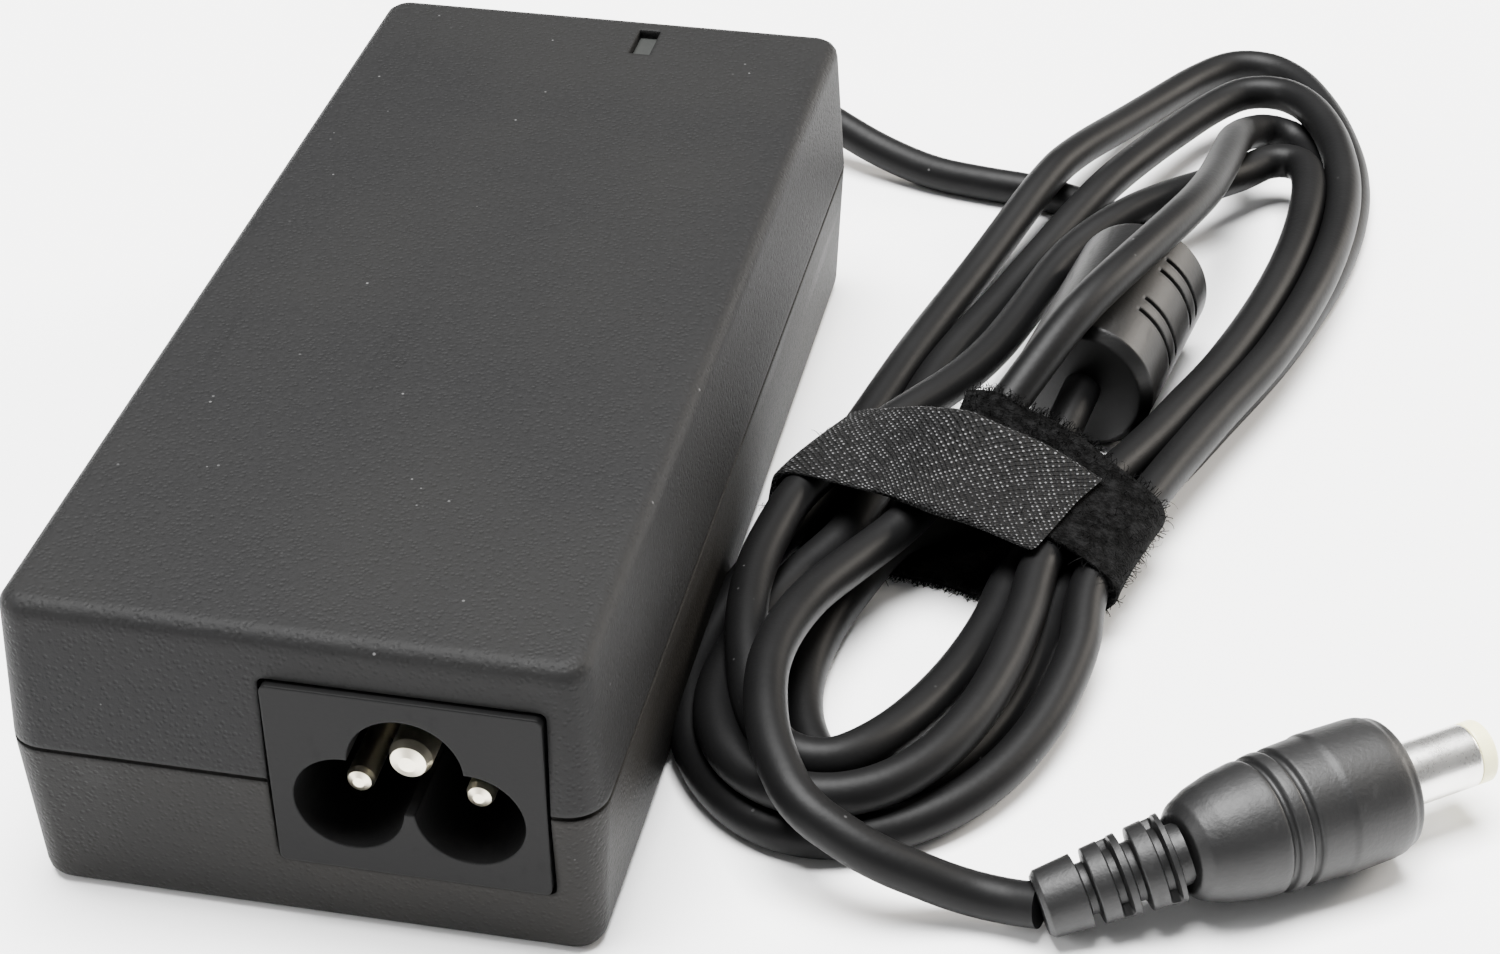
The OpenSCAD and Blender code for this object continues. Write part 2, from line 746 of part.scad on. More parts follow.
module plug_tip_insulator() {
    color([0.95, 0.93, 0.65]) at_plug() difference() {
        union() {
            translate([0, 0, -barrel_seat])
                cylinder(d = barrel_d - 2 * barrel_wall, h = barrel_seat + barrel_l, $fn = round_fn);
            translate([0, 0, barrel_l - tip_l]) cylinder(d = barrel_d, h = tip_l, $fn = round_fn);
        }
        translate([0, 0, -barrel_seat - 1])
            cylinder(d = contact_bore + 2 * contact_wall, h = barrel_seat + barrel_l + 2, $fn = round_fn);
    }
}

module plug_inner_contact() {
    color([0.85, 0.75, 0.45]) at_plug() difference() {
        translate([0, 0, -barrel_seat]) cylinder(d = contact_bore + 2 * contact_wall,
            h = barrel_seat + barrel_l - contact_setback, $fn = round_fn);
        translate([0, 0, -barrel_seat + 1])
            cylinder(d = contact_bore, h = barrel_seat + barrel_l, $fn = round_fn);
    }
}

upper_shell();
lower_shell();
inlet_housing();
inlet_line_pin();
inlet_neutral_pin();
inlet_earth_pin();
light_pipe();
indicator_led();
circuit_board();
input_fuse();
inrush_thermistor();
varistor();
filter_capacitor();
choke_core();
choke_line_winding();
choke_neutral_winding();
bridge_rectifier();
bulk_capacitor();
switching_transistor();
primary_heat_sink();
control_chip();
safety_capacitor();
optocoupler();
transformer_core();
transformer_bobbin();
transformer_winding();
output_rectifier();
secondary_heat_sink();
heat_sink_screws();
output_capacitors();
output_choke();
insulating_sheet();
shield_foil();
lead_wire_positive();
lead_wire_negative();
cord_strain_relief();
cord_to_ferrite();
ferrite_cover();
ferrite_core();
cord_from_ferrite();
cord_hank();
tie_strap();
cord_to_plug();
plug_strain_relief();
plug_body();
plug_barrel();
plug_tip_insulator();
plug_inner_contact();
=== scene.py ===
"""Looks for the laptop power adapter: its case, its wound and tied lead, its plug and its stage.

Lengths inside the shape functions are in millimetres; MM turns them into metres where a mesh is made.
"""
import math

import bmesh
import bpy
import numpy as np
from bpy.props import FloatProperty, IntProperty, PointerProperty
from mathutils import Matrix


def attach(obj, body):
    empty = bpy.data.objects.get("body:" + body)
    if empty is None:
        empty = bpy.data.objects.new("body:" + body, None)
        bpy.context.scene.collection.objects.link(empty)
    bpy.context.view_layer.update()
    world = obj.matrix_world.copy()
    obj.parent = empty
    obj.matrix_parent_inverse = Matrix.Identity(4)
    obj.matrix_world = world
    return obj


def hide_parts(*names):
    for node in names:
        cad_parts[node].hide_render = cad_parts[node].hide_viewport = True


bl_info = {
    "name": "Power Adapter Looks",
    "version": (1, 0, 0),
    "blender": (4, 5, 0),
    "location": "3D View > Sidebar > Adapter",
    "description": "Builds the lead, tie, plug, finishes and stage of a laptop power adapter",
    "category": "Add Mesh",
}

MM = 0.001
SHARP_ANGLE = 50.0  # degrees between faces past which an edge stays sharp
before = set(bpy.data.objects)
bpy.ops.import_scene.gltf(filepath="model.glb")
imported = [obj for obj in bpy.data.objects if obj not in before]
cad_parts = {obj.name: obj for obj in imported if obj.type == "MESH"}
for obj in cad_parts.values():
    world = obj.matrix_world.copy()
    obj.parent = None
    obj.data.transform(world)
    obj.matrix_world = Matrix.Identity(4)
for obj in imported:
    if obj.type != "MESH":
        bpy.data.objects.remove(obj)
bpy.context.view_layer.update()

# Camera: place in millimetres, then its right, down and forward directions
CAMERA_PLACE = (74.8164, -225.3431, 175.7497)
CAMERA_RIGHT = (0.97852872, 0.20580285, -0.0112576)
CAMERA_DOWN = (0.11073989, -0.57102897, -0.81342645)
CAMERA_FORWARD = (-0.1738339, 0.79471448, -0.58155883)
CAMERA_LENS = 73.2069

# The lead where it isn't wound
TO_BEAD = [[0, 72, 10], [0.5, 75.5, 9.8], [2.8, 79.3, 9.2], [7, 81.8, 8], [12.5, 81.5, 6.5],
           [18, 79.3, 4.8], [24.5, 76.6, 3], [31, 74.4, 2], [37, 73.2, 1.9], [43, 72.3, 1.9],
           [48.5, 70.2, 1.9], [53, 66.3, 2.3], [56.3, 61, 3.8], [58, 55.5, 5.8], [57.8, 51.5, 6.8],
           [57.4, 48.1, 7]]
FROM_BEAD = [[53.5, 26, 7], [52.9, 22.4, 6.6], [52.2, 19, 5.6], [51.3, 15.5, 4.2], [50.3, 12, 3]]
TO_PLUG = [[41, -42.3, 8], [45, -43.3, 6.2], [49.5, -43.1, 4], [53.5, -42.8, 2.7], [56.4, -43, 2.6],
           [58.6, -43.4, 3]]

# Suppression bead
BEAD_AT = np.array([53.5, 26.0, 7.0])
BEAD_TURN = math.radians(80)
BEAD_AXIS = np.array([math.cos(BEAD_TURN), math.sin(BEAD_TURN), 0.0])
BEAD_R = 7.0
BEAD_L = 22.4

# The hank's own frame: u along it, v to its right, its middle under the tie
HANK_AT = np.array([44.0, 12.0])
HANK_TURN = math.radians(-15)

# One row per half turn: reach, left, right, four sideways waves, height at left, at the far end, at right
LOWER_TURNS = [(-42, -0.5, 12.8, 1.8, -4.4, -0.8, -0.2, 1.9, 1.9, 1.9),
               (-49, -12.2, 11.1, 7.3, -5.5, 0.9, -0.6, 1.9, 1.9, 5.2),
               (-48.4, -5.6, 11, 1.7, -5.8, -0.4, 0.2, 3.6, 5.7, 6),
               (-46.6, -11.7, 8, 4.6, -2.3, -0.6, -0.6, 7, 6.2, 4.8)]
UPPER_TURNS = [(98, -13.4, 13, -0.5, -4.7, 2.6, -1, 5, 2.8, 1.9),
               (87, -11.4, 13.8, 2.5, -3, 2.6, -0.7, 4.8, 6.3, 6.2),
               (74.5, -8.6, 10.1, 8.8, -1.1, 1.9, -0.3, 7, 7.6, 6),
               (84, 3.2, 8.6, 2.8, -3.5, 3.7, 0.8, 1.9, 1.9, 1.9)]
# The last upper turn climbs over the bead: how high, at what angle of the turn, over what angle
BEAD_RISE = (13.4, 20.0, 37.0)
LAST_LIMB = [(-10.3, -0.8, 7.6), (-19.8, -2.7, 8.5), (-27, -3.6, 9), (-34.6, -3.1, 9.6), (-39.8, -1.9, 9.6),
             (-43.4, -0.3, 9.6), (-47.1, 2, 9.6), (-50, 4.6, 9.6), (-52.6, 8, 9.1)]

# Tie: its middle, its turn and its strip
TIE_AT = np.array([45.4, 6.4])
TIE_TURN = math.radians(-17)
# Angles round the hank, in degrees from its right: the strip's two ends, and where its woven side starts
TIE_START = 122.0
TIE_END = -341.0
WOVEN_FROM = -178.0

# Plug
PLUG_AT = np.array([85.4, -26.3, 6.1])
PLUG_TURN = math.radians(37)
PLUG_AXIS = np.array([math.cos(PLUG_TURN), math.sin(PLUG_TURN), 0.0])
RELIEF_TAIL = np.array([58.6, -43.4, 3.0])


# ---------------------------------------------------------------- meshes

def quads_of(rows, cols, wrap_rows=False):
    """Quads of a grid whose columns close on themselves, and each quad's four (row, column) places."""
    r = np.arange(rows if wrap_rows else rows - 1)[:, None]
    c = np.arange(cols)[None, :]
    r, c = np.broadcast_arrays(r, c)
    places = np.stack([np.stack([r, c], -1), np.stack([r, c + 1], -1), np.stack([r + 1, c + 1], -1),
                       np.stack([r + 1, c], -1)], 2).reshape(-1, 4, 2)
    return (places[..., 0] % rows) * cols + places[..., 1] % cols, places


def make_object(name, points, faces, uv=None):
    """An object at the origin from points in millimetres: faces outward, smooth but for sharp edges."""
    mesh = bpy.data.meshes.new(name)
    mesh.from_pydata((np.asarray(points, float) * MM).tolist(), [], faces)
    if uv is not None:
        layer = mesh.uv_layers.new(name="UVMap")
        layer.data.foreach_set("uv", np.asarray(uv, np.float32).ravel())
    tool = bmesh.new()
    tool.from_mesh(mesh)
    bmesh.ops.recalc_face_normals(tool, faces=tool.faces)
    tool.to_mesh(mesh)
    tool.free()
    mesh.shade_smooth()
    mesh.set_sharp_from_angle(angle=math.radians(SHARP_ANGLE))
    obj = bpy.data.objects.new(name, mesh)
    bpy.context.scene.collection.objects.link(obj)
    return obj


def make_grid(name, grid, along, wrap_rows=False):
    """A closed skin over a grid of rings: rings join in order, and the two end rings are capped by a fan."""
    rows, cols = grid.shape[:2]
    quads, places = quads_of(rows, cols, wrap_rows)
    along = np.append(along, 2 * along[-1] - along[-2])
    uv = np.stack([places[..., 1] / cols, along[places[..., 0]]], -1).reshape(-1, 2)
    points = grid.reshape(-1, 3)
    faces = quads.tolist()
    if not wrap_rows:
        points = np.vstack([points, grid[0].mean(0), grid[-1].mean(0)])
        k = np.arange(cols)
        first = np.stack([(k + 1) % cols, k, np.full(cols, rows * cols)], 1)
        last = np.stack([(rows - 1) * cols + k, (rows - 1) * cols + (k + 1) % cols,
                         np.full(cols, rows * cols + 1)], 1)
        faces += np.vstack([first, last]).tolist()
        ends = np.stack([np.tile([0.0, 0.5, 0.25], cols * 2),
                         np.repeat([along[0], along[rows - 1]], cols * 3)], 1)
        uv = np.vstack([uv, ends])
    return make_object(name, points, faces, uv)


def frames_along(path):
    """Two directions square to the path and to each other, turning as little as possible along it."""
    t = np.gradient(path, axis=0)
    t /= np.linalg.norm(t, axis=1)[:, None]
    side = np.cross(t[0], [0.0, 0.0, 1.0])
    sides = []
    for k in range(len(path)):
        side = side - (side @ t[k]) * t[k]
        side /= np.linalg.norm(side)
        sides.append(side)
    sides = np.array(sides)
    return sides, np.cross(sides, t)


def ring_grid(path, sides, ups, radii):
    """Rings round a path: point = path + radius x (cos a x side + sin a x up), a running once round."""
    radii = np.asarray(radii, float)
    a = np.linspace(0, 2 * math.pi, radii.shape[1], endpoint=False)
    return (path[:, None] + radii[..., None] * (np.cos(a)[None, :, None] * sides[:, None]
                                               + np.sin(a)[None, :, None] * ups[:, None]))


def lathe(name, profile, at, axis, sides=96, closed=False, dents=None):
    """A turned piece: profile gives (place along the axis, radius), and dents(angle, place, radius) the
    radius with any hollows taken out of it.
    """
    profile = np.asarray(profile, float)
    side = np.cross(axis, [0.0, 0.0, 1.0])
    side /= np.linalg.norm(side)
    up = np.cross(side, axis)
    a = np.linspace(0, 2 * math.pi, sides, endpoint=False)
    radii = np.repeat(profile[:, 1:2], sides, axis=1)
    if dents is not None:
        radii = dents(a[None, :], profile[:, :1], radii)
    path = np.asarray(at) + profile[:, :1] * np.asarray(axis)
    n = len(path)
    grid = ring_grid(path, np.repeat(side[None], n, 0), np.repeat(up[None], n, 0), radii)
    return make_grid(name, grid, profile[:, 0], closed)


def rounded(profile, step=0.15, soften=0.25):
    """The profile's line cut into short steps, with its corners eased over about the softening length."""
    profile = np.asarray(profile, float)
    s = np.concatenate([[0], np.cumsum(np.linalg.norm(np.diff(profile, axis=0), axis=1))])
    t = np.linspace(0, s[-1], int(s[-1] / step) + 1)
    line = np.stack([np.interp(t, s, profile[:, k]) for k in range(2)], 1)
    half = int(3 * soften / step)
    kernel = np.exp(-0.5 * (np.arange(-half, half + 1) * step / soften) ** 2)
    kernel /= kernel.sum()
    padded = np.vstack([np.repeat(line[:1], half, 0), line, np.repeat(line[-1:], half, 0)])
    return np.stack([np.convolve(padded[:, k], kernel, "valid") for k in range(2)], 1)


# ---------------------------------------------------------------- lead

def through_points(points, step):
    """A smooth line through the points: a centripetal Catmull-Rom curve sampled about every step."""
    p = np.asarray(points, float)
    p = np.vstack([2 * p[0] - p[1], p, 2 * p[-1] - p[-2]])
    t = np.concatenate([[0], np.cumsum(np.linalg.norm(np.diff(p, axis=0), axis=1) ** 0.5)])
    out = []
    for i in range(1, len(p) - 2):
        (p0, p1, p2, p3), (t0, t1, t2, t3) = p[i - 1:i + 3], t[i - 1:i + 3]
        s = np.linspace(t1, t2, max(2, int(np.linalg.norm(p2 - p1) / step) + 1), endpoint=False)[:, None]
        a1 = (t1 - s) / (t1 - t0) * p0 + (s - t0) / (t1 - t0) * p1
        a2 = (t2 - s) / (t2 - t1) * p1 + (s - t1) / (t2 - t1) * p2
        a3 = (t3 - s) / (t3 - t2) * p2 + (s - t2) / (t3 - t2) * p3
        b1 = (t2 - s) / (t2 - t0) * a1 + (s - t0) / (t2 - t0) * a2
        b2 = (t3 - s) / (t3 - t1) * a2 + (s - t1) / (t3 - t1) * a3
        out.append((t2 - s) / (t2 - t1) * b1 + (s - t1) / (t2 - t1) * b2)
    out.append(p[-2][None])
    return np.vstack(out)


def even_steps(path, step):
    """The same line with its points a step apart."""
    s = np.concatenate([[0], np.cumsum(np.linalg.norm(np.diff(path, axis=0), axis=1))])
    t = np.linspace(0, s[-1], int(round(s[-1] / step)) + 1)
    return np.stack([np.interp(t, s, path[:, k]) for k in range(3)], 1)


def hank_to_frame(u, v, z):
    """Points given along and across the hank, in the object's frame."""
    x = HANK_AT[0] - math.sin(HANK_TURN) * u + math.cos(HANK_TURN) * v
    y = HANK_AT[1] + math.cos(HANK_TURN) * u + math.sin(HANK_TURN) * v
    return np.stack([x, y, z], -1)


def half_turn(row, rise=None):
    """Half a turn, from the left limb round its far end to the right limb, at fifteen angles.

    Along = reach x sin a; across = left to right as a cosine plus four sine waves; the height blends the
    left, far-end and right heights, plus a bell-shaped rise where one is given.
    """
    reach, left, right, w1, w2, w3, w4, z_left, z_end, z_right = row
    deg = np.linspace(12, 168, 15)
    a = np.radians(deg)
    u = reach * np.sin(a)
    v = ((left + right) / 2 - (right - left) / 2 * np.cos(a) + w1 * np.sin(a) + w2 * np.sin(2 * a)
         + w3 * np.sin(3 * a) + w4 * np.sin(4 * a))
    z = (z_left * np.cos(a / 2) ** 2 + z_right * np.sin(a / 2) ** 2
         + (z_end - (z_left + z_right) / 2) * np.sin(a) ** 2)
    if rise is not None:
        z = z + rise[0] * np.exp(-((deg - rise[1]) / rise[2]) ** 2)
    return hank_to_frame(u, v, z)


def wound_route():
    """The whole lead as laid out: case to bead, bead, four turns of the hank, and on to the plug."""
    parts = [np.array(TO_BEAD, float), np.array(FROM_BEAD, float)]
    for k in range(len(LOWER_TURNS)):
        last = k == len(LOWER_TURNS) - 1
        parts.append(half_turn(LOWER_TURNS[k]))
        parts.append(half_turn(UPPER_TURNS[k], BEAD_RISE if last else None)[::-1])
    limb = np.array(LAST_LIMB, float)
    parts.append(hank_to_frame(limb[:, 0], limb[:, 1], limb[:, 2]))
    parts.append(np.array(TO_PLUG, float))
    return np.vstack(parts)


def in_tie(points):
    """How far each point is inside the tie's width: 1 in the middle, 0 beyond 5 mm outside its edges."""
    across = (points[:, :2] - TIE_AT) @ np.array([-math.sin(TIE_TURN), math.cos(TIE_TURN)])
    along = (points[:, :2] - TIE_AT) @ np.array([math.cos(TIE_TURN), math.sin(TIE_TURN)])
    return np.clip((11.5 - np.abs(across)) / 5, 0, 1) * (np.abs(along) < 24)


def push_apart(p, held, gap, first, second):
    """Points of different strands moved apart until their middles are a cord's width apart."""
    between = p[second] - p[first]
    dist = np.linalg.norm(between, axis=1)
    near = dist < gap
    if not near.any():
        return p
    i, j = first[near], second[near]
    move = ((gap - dist[near]) / np.maximum(dist[near], 1e-6) * 0.5)[:, None] * between[near]
    share_i = np.where(held[i], 0, np.where(held[j], 2, 1))[:, None]
    share_j = np.where(held[j], 0, np.where(held[i], 2, 1))[:, None]
    total = np.zeros_like(p)
    count = np.zeros(len(p))
    np.add.at(total, i, -move * share_i)
    np.add.at(total, j, move * share_j)
    np.add.at(count, i, 1)
    np.add.at(count, j, 1)
    return p + total / np.maximum(count, 1)[:, None]


def keep_out(p, free, radius):
    """Points kept outside the bead, above the table and above the tie where it passes underneath."""
    p = p.copy()
    rel = p - BEAD_AT
    t = rel @ BEAD_AXIS
    off = rel - t[:, None] * BEAD_AXIS
    dist = np.linalg.norm(off, axis=1)
    hit = (t > -radius) & (t < BEAD_L + radius) & (dist < BEAD_R + radius) & free
    p[hit] += (off / np.maximum(dist, 1e-6)[:, None] * (BEAD_R + radius - dist)[:, None])[hit]
    weight = in_tie(p)
    floor = radius + 1.1 * weight
    ceiling = np.where(weight >= 0.9, 9.9, np.inf)
    p[free, 2] = np.minimum(np.maximum(p[free, 2], floor[free]), ceiling[free])
    return p


def settled_lead(diameter, rounds):
    """The laid-out route let settle: a stiff line near its guide, its strands pushed a diameter apart.

    Each round finds places with no overlap, then solves for the line that trades off those places, the
    guide and the guide's own gentle bending; the weight of the overlap-free places grows with each round.
    """
    step = 2.6
    gentlest = 6.5  # the guide's own bends are followed down to this radius
    guide = even_steps(through_points(wound_route(), 0.5), step)
    n = len(guide)
    held = np.zeros(n, bool)
    lead_in = np.linalg.norm(np.diff(np.array(TO_BEAD), axis=0), axis=1).sum() + BEAD_L + 8
    held[:int(lead_in / step)] = True
    held[-int(14 / step):] = True
    free = ~held
    hold, pull, stiffness = 200.0, 0.02, 3.0
    bend = np.zeros((n - 2, n))
    k = np.arange(n - 2)
    bend[k, k], bend[k, k + 1], bend[k, k + 2] = 1, -2, 1
    rest = bend @ guide
    rest[:, 2] *= 0.25
    size = np.linalg.norm(rest, axis=1)
    rest *= np.minimum(1, step ** 2 / gentlest / np.maximum(size, 1e-9))[:, None]
    first, second = np.triu_indices(n, k=int(math.ceil(2.2 * diameter / step)))
    loose = ~(held[first] & held[second])
    first, second = first[loose], second[loose]
    line = guide.copy()
    solves = {}
    for turn in range(rounds):
        done = turn / rounds
        weight = round(0.5 + 6 * done * done, 1)
        if weight not in solves:
            solves[weight] = np.linalg.inv(np.diag(np.where(held, hold, pull + weight))
                                           + stiffness * bend.T @ bend)
        place = line.copy()
        for _ in range(4):
            place = push_apart(place, held, diameter * 1.01, first, second)
            place = keep_out(place, free, diameter / 2)
        place[free, 2] -= 0.075 * (1 - done) ** 2
        target = np.where(held[:, None], hold * guide, pull * guide + weight * place)
        line = solves[weight] @ (target + stiffness * bend.T @ rest)
    for _ in range(12):
        line = push_apart(line, held, diameter, first, second)
        line[free, 2] = np.maximum(line[free, 2], diameter / 2)
    return line


LEAD = {}


def lead_path(diameter):
    """The settled lead, worked out once."""
    if "path" not in LEAD:
        LEAD["path"] = settled_lead(diameter, 160)
    return LEAD["path"]


# ---------------------------------------------------------------- finishes

class Value:
    """One number in a shader, with arithmetic written as in Python."""

    def __init__(self, surface, socket):
        self.surface = surface
        self.socket = socket

    def _do(self, operation, *others):
        return Value(self.surface, self.surface.node(
            "ShaderNodeMath", {"operation": operation}, dict(enumerate(others))).outputs[0])

    def __add__(self, other):
        return self._do("ADD", self, other)

    def __radd__(self, other):
        return self._do("ADD", other, self)

    def __sub__(self, other):
        return self._do("SUBTRACT", self, other)

    def __rsub__(self, other):
        return self._do("SUBTRACT", other, self)

    def __mul__(self, other):
        return self._do("MULTIPLY", self, other)

    def __rmul__(self, other):
        return self._do("MULTIPLY", other, self)

    def sine(self):
        return self._do("SINE", self)

    def above(self, low, high):
        """0 below low, 1 above high, smooth in between."""
        node = self.surface.node("ShaderNodeMapRange", {"interpolation_type": "SMOOTHSTEP"},
                                 {"Value": self, "From Min": low, "From Max": high})
        return Value(self.surface, node.outputs["Result"])


class Surface:
    """A material under construction: one main shader, fed by procedural values."""

    def __init__(self, name, **constants):
        self.material = bpy.data.materials.new(name)
        self.material.use_nodes = True
        self.tree = self.material.node_tree
        self.shader = self.tree.nodes["Principled BSDF"]
        for key, value in constants.items():
            self.shader.inputs[key.replace("_", " ").title().replace("Ior", "IOR")].default_value = value

    def node(self, kind, settings=None, inputs=None):
        """A node of that kind with its settings made and its inputs set or linked."""
        made = self.tree.nodes.new(kind)
        for key, value in (settings or {}).items():
            setattr(made, key, value)
        for key, value in (inputs or {}).items():
            if isinstance(value, Value):
                value = value.socket
            if isinstance(value, bpy.types.NodeSocket):
                self.tree.links.new(value, made.inputs[key])
            else:
                made.inputs[key].default_value = value
        return made

    def place(self):
        """The point's own place on the object, in metres."""
        return self.node("ShaderNodeTexCoord").outputs["Object"]

    def uv(self):
        """Round and along the piece, as two values."""
        split = self.node("ShaderNodeSeparateXYZ", {}, {0: self.node("ShaderNodeTexCoord").outputs["UV"]})
        return Value(self, split.outputs[0]), Value(self, split.outputs[1])

    def stretched(self, factors):
        """The point's place with each direction scaled."""
        return self.node("ShaderNodeVectorMath", {"operation": "MULTIPLY"},
                         {0: self.place(), 1: factors}).outputs[0]

    def noise(self, scale, detail=2.0, rough=0.5, at=None):
        """Soft cloudy variation from 0 to 1, finer with a larger scale."""
        made = self.node("ShaderNodeTexNoise", {}, {"Vector": at or self.place(), "Scale": scale,
                                                    "Detail": detail, "Roughness": rough})
        return Value(self, made.outputs["Fac"])

    def cells(self, scale):
        """Distance to the nearest of many scattered points."""
        made = self.node("ShaderNodeTexVoronoi", {}, {"Vector": self.place(), "Scale": scale})
        return Value(self, made.outputs["Distance"])

    def mix(self, factor, a, b):
        """The colour a turning into b with the factor."""
        made = self.node("ShaderNodeMix", {"data_type": "RGBA"})
        for index, value in ((0, factor), (6, a), (7, b)):
            if isinstance(value, Value):
                value = value.socket
            if isinstance(value, bpy.types.NodeSocket):
                self.tree.links.new(value, made.inputs[index])
            else:
                made.inputs[index].default_value = value if index == 0 else (*value[:3], 1.0)
        return made.outputs[2]

    def feed(self, name, value):
        """A varying value or colour into one of the shader's sockets."""
        self.tree.links.new(value.socket if isinstance(value, Value) else value, self.shader.inputs[name])

    def bump(self, height, distance, radius=0.0):
        """Relief of that height in metres; with a radius, the piece's edges are also eased by it."""
        inputs = {"Height": height, "Distance": distance, "Strength": 1.0}
        if radius:
            inputs["Normal"] = self.node("ShaderNodeBevel", {"samples": 6}, {"Radius": radius}).outputs[0]
        made = self.node("ShaderNodeBump", {}, inputs)
        self.feed("Normal", made.outputs[0])


def plain_finish(name, colour, rough=0.45, grain=2500.0, relief=0.00002, spread=0.25, radius=0.0,
                 **constants):
    """A moulded, coated or machined surface: patchy colour, uneven gloss, fine grain and light scuffs."""
    made = Surface(name, **constants)
    patch = made.noise(60.0, 3.0)
    fine = made.noise(grain, 3.0, 0.6)
    dark = tuple(c * (1 - spread) for c in colour)
    light = tuple(min(1.0, c * (1 + spread)) for c in colour)
    made.feed("Base Color", made.mix(patch * 0.6 + fine * 0.4, dark, light))
    scuff = made.noise(900.0, 2.0, 0.5, made.stretched((1.0, 0.15, 0.4))).above(0.62, 0.72)
    made.feed("Roughness", patch * 0.14 + fine * 0.1 + scuff * 0.08 + (rough - 0.12))
    made.bump(fine + patch * 0.5, relief, radius=radius)
    return made.material


def case_finish(name, colour, warm):
    """Dark moulded plastic with spark-eroded grain, tiny bright specks, faint rub marks and soft edges."""
    made = Surface(name, specular_ior_level=0.11)
    grain = made.noise(2600.0, 4.0, 0.65)
    pits = made.cells(1900.0).above(0.12, 0.5)
    patch = made.noise(28.0, 4.0, 0.55)
    speck = made.cells(520.0).above(0.075, 0.05) * made.noise(140.0, 1.0).above(0.55, 0.66)
    base = made.mix(patch.above(0.35, 0.7), tuple(c * 0.86 for c in colour), warm)
    base = made.mix(grain.above(0.3, 0.75) * 0.5, base, tuple(c * 1.5 for c in colour))
    made.feed("Base Color", made.mix(speck * 0.35, base, (0.2, 0.2, 0.2)))
    rub = made.noise(260.0, 2.0, 0.5, made.stretched((1.0, 0.08, 1.0))).above(0.6, 0.75)
    made.feed("Roughness", 0.43 + grain * 0.22 + patch * 0.08 - rub * 0.06)
    made.bump(grain * 0.8 + pits * 0.5, 0.00006, radius=0.0007)
    return made.material


def lead_finish():
    """Satin black jacket: long soft waviness, faint drag lines and dust."""
    made = Surface("lead_jacket", specular_ior_level=0.1)
    fine = made.noise(1800.0, 3.0)
    wave = made.noise(90.0, 2.0)
    dust = made.cells(420.0).above(0.07, 0.045) * made.noise(70.0).above(0.52, 0.6)
    base = made.mix(wave, (0.0022, 0.0022, 0.0023), (0.0044, 0.0044, 0.0045))
    made.feed("Base Color", made.mix(dust * 0.3, base, (0.15, 0.15, 0.15)))
    made.feed("Roughness", 0.38 + wave * 0.12 + fine * 0.08)
    made.bump(fine * 0.25 + wave, 0.00007)
    return made.material


def weave_finish():
    """Woven black nylon: ribs along the strip crossed by threads, with painted highlights on the thread tops
    and stray fibres.
    """
    made = Surface("tie_weave", sheen_weight=0.01, specular_ior_level=0.12)
    across, along = made.uv()
    warp = (along * 9000.0 + made.noise(900.0) * 2.4).sine()
    weft = (across * 250.0 + made.noise(800.0) * 2.4).sine()
    thread = warp * weft
    # Painted highlight: the raised thread tops are mixed towards light grey in the base colour, and are also
    # made a little glossier.
    painted_glint = thread.above(0.35, 0.95) * made.noise(1500.0, 2.0).above(0.42, 0.62)
    base = made.mix(made.noise(300.0), (0.0008, 0.0008, 0.0008), (0.0030, 0.0030, 0.0031))
    made.feed("Base Color", made.mix(painted_glint * 0.75, base, (0.16, 0.16, 0.163)))
    made.feed("Roughness", 0.62 - painted_glint * 0.2)
    made.bump(thread * 0.6 + made.noise(2600.0, 3.0) * 0.7, 0.00022)
    return made.material


def fuzz_finish():
    """The looped, brushed side of the tie: matted fibres in clumps."""
    made = Surface("tie_fuzz", sheen_weight=0.01, specular_ior_level=0.03)
    clump = made.noise(900.0, 5.0, 0.7)
    base = made.mix(clump.above(0.4, 0.7), (0.0003, 0.0003, 0.0003), (0.006, 0.006, 0.0061))
    made.feed("Base Color", base)
    made.feed("Roughness", 0.75 + clump * 0.2)
    made.bump(clump + made.noise(3500.0, 3.0) * 0.5, 0.0005)
    return made.material


def metal_finish(name, colour, rough, streak=(1.0, 1.0, 0.1)):
    """Plated or sheared metal: fine drag marks, a cloudy patina and small nicks."""
    made = Surface(name, metallic=1.0)
    cloud = made.noise(220.0, 4.0)
    drag = made.noise(5200.0, 2.0, 0.5, made.stretched(streak))
    nick = made.cells(700.0).above(0.05, 0.02)
    made.feed("Base Color", made.mix(cloud.above(0.3, 0.75), tuple(c * 0.82 for c in colour), colour))
    made.feed("Roughness", cloud * 0.14 + drag * 0.12 + nick * 0.1 + (rough - 0.1))
    made.bump(drag * 0.5 + nick * 0.4, 0.000006)
    return made.material


def dress(node, material):
    """The finish put on a CAD node."""
    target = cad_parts[node]
    target.data.materials.clear()
    target.data.materials.append(material)


def put_on(obj, slot, material, *replaced):
    """Finish, body and the CAD nodes that the piece stands for; the slot is not used."""
    obj.data.materials.append(material)
    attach(obj, "root")
    if replaced:
        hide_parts(*replaced)


# ---------------------------------------------------------------- tie

def crossing_points(path, across):
    """Where the lead's strands cross a plane at that place across the tie: (along the band, height)."""
    band = np.array([math.cos(TIE_TURN), math.sin(TIE_TURN)])
    width = np.array([-math.sin(TIE_TURN), math.cos(TIE_TURN)])
    s = (path[:, :2] - TIE_AT) @ band
    w = (path[:, :2] - TIE_AT) @ width - across
    hit = np.nonzero(w[:-1] * w[1:] <= 0)[0]
    f = (w[hit] / (w[hit] - w[hit + 1]))[:, None]
    spots = np.stack([s, path[:, 2]], 1)
    spots = spots[hit] * (1 - f) + spots[hit + 1] * f
    return spots[(np.abs(spots[:, 0]) < 24) & (spots[:, 1] < 13)]


